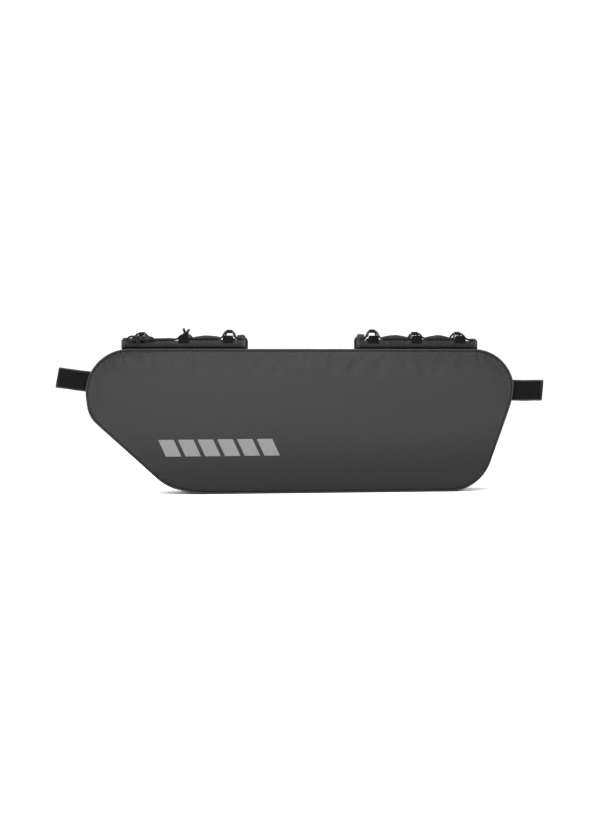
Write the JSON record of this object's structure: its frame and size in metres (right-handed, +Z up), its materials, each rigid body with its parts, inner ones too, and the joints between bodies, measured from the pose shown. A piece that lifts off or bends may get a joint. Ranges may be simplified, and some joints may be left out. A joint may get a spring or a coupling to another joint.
{
  "type": "bicycle frame bag",
  "caption": "Half-frame bicycle bag of satin dark grey coated fabric with piped edges, laced top tube sleeves, webbing loops at both ends, a reflective bar strip and a zipped back panel.",
  "frame": {"origin": "Middle of the underside: the middle of the whole bag's box in X and Y, at the height of the surface it stands on.", "axes": "+Z up. +X along the bag from the head tube end to the seat tube end. -Y points out of the plain front panel, +Y out of the back panel with the zip."},
  "size_m": [0.5842, 0.072, 0.2004],
  "materials": {
    "coated_fabric": "satin coated fabric, dark grey",
    "gusset_fabric": "satin coated fabric, darker grey",
    "piping_fabric": "satin coated binding, near black",
    "flap_fabric": "coated fabric, slightly pebbled",
    "webbing": "matte black brushed webbing",
    "grosgrain": "matte black ribbed tape",
    "elastic_cord": "black braided elastic cord",
    "reflective_film": "silver grey reflective film",
    "zip_tape": "black coated zip tape with a plastic coil",
    "slider_metal": "black lacquered slider"
  },
  "bodies": {
    "root": {"front_panel": "coated_fabric", "back_panel": "coated_fabric", "gusset": "gusset_fabric", "front_piping": "piping_fabric", "back_piping": "piping_fabric", "zip": "zip_tape", "zip_slider": "slider_metal", "reflective_bar_1": "reflective_film", "reflective_bar_2": "reflective_film", "reflective_bar_3": "reflective_film", "reflective_bar_4": "reflective_film", "reflective_bar_5": "reflective_film", "reflective_bar_6": "reflective_film", "head_tube_strap": "webbing", "seat_tube_strap": "webbing", "left_front_flap": "flap_fabric", "left_back_flap": "flap_fabric", "right_front_flap": "flap_fabric", "right_back_flap": "flap_fabric", "left_front_lace_tab_1": "grosgrain", "left_front_lace_tab_2": "grosgrain", "left_front_lace_tab_3": "grosgrain", "left_back_lace_tab_1": "grosgrain", "left_back_lace_tab_2": "grosgrain", "left_back_lace_tab_3": "grosgrain", "right_front_lace_tab_1": "grosgrain", "right_front_lace_tab_2": "grosgrain", "right_front_lace_tab_3": "grosgrain", "right_back_lace_tab_1": "grosgrain", "right_back_lace_tab_2": "grosgrain", "right_back_lace_tab_3": "grosgrain", "left_lace_over": "elastic_cord", "left_lace_under": "elastic_cord", "right_lace_over": "elastic_cord", "right_lace_under": "elastic_cord", "left_lace_tails": "elastic_cord", "left_lace_bow": "elastic_cord"}
  },
  "joints": []
}
